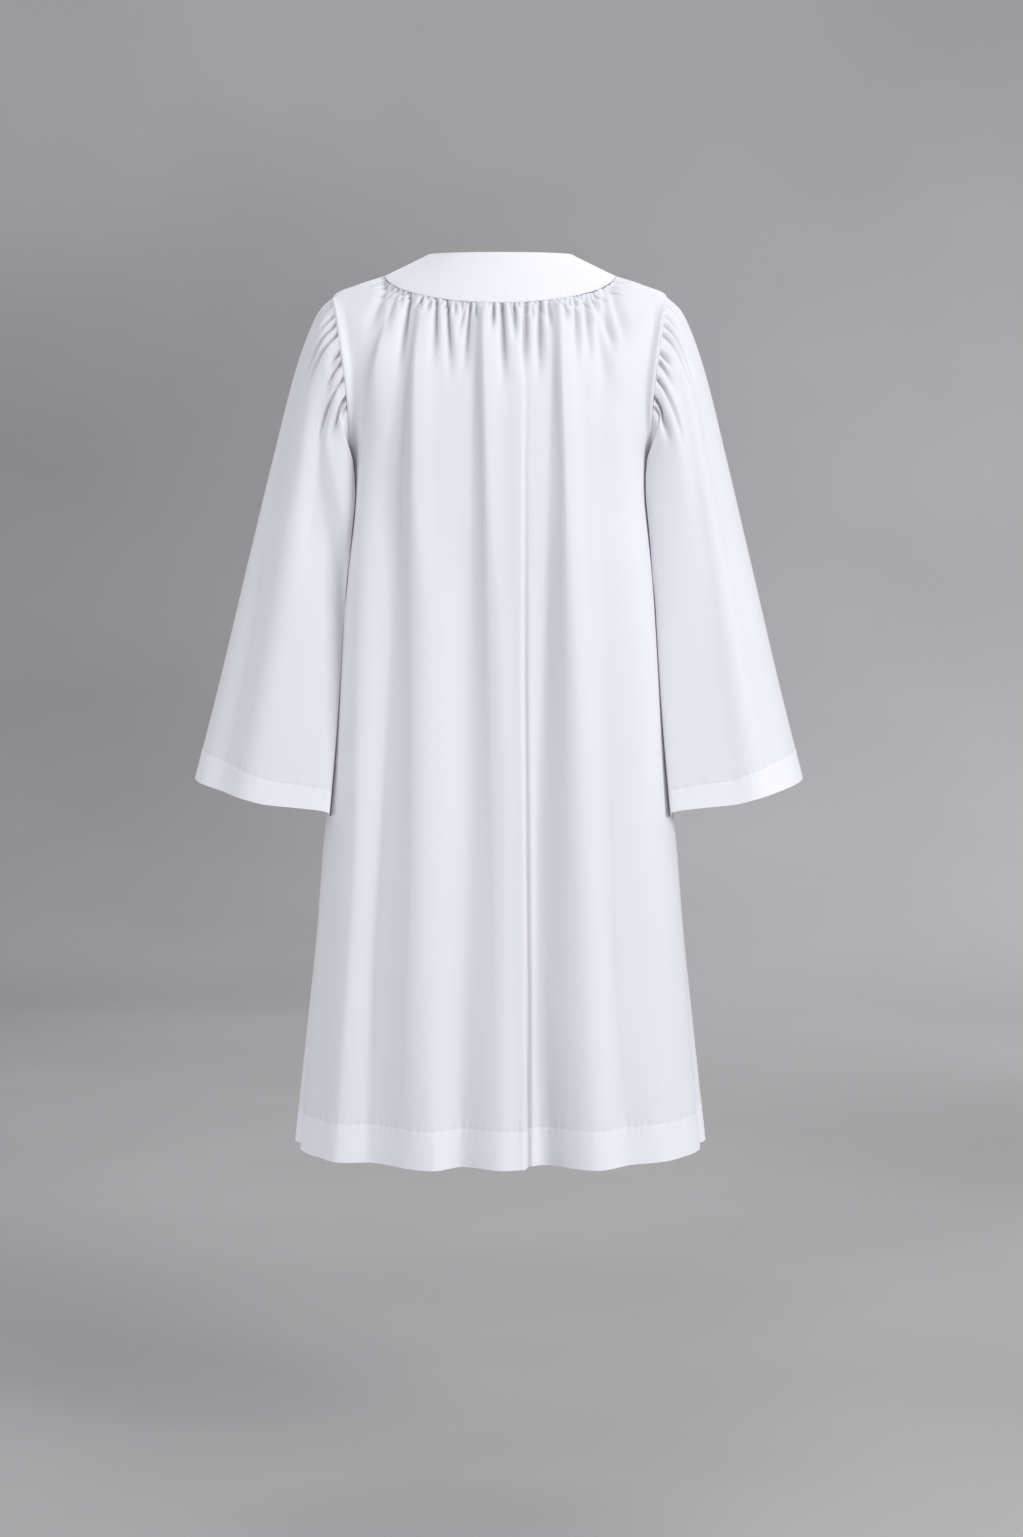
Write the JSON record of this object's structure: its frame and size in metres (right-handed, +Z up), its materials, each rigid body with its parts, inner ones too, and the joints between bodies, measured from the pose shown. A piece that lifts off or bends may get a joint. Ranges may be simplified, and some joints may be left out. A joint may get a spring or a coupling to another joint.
{
  "type": "surplice",
  "caption": "Knee-length white surplice as worn: round yoke, gathered back and front, wide open sleeves and open neck and hem.",
  "frame": {"origin": "midway between the wearer's shoulders, at the height where they carry the yoke", "axes": "+X to the wearer's left, -Y to the front of the garment, +Z up"},
  "size_m": [0.775, 0.4143, 1.1322],
  "materials": {
    "yoke_cloth": "double plain-weave poly-cotton, white, pressed smooth",
    "body_cloth": "fine plain-weave poly-cotton, white, soft folds",
    "sleeve_cloth": "fine plain-weave poly-cotton, white, soft folds"
  },
  "bodies": {
    "root": {"yoke": "yoke_cloth", "back_panel": "body_cloth", "front_panel": "body_cloth", "sleeve_left": "sleeve_cloth", "sleeve_right": "sleeve_cloth"}
  },
  "joints": []
}
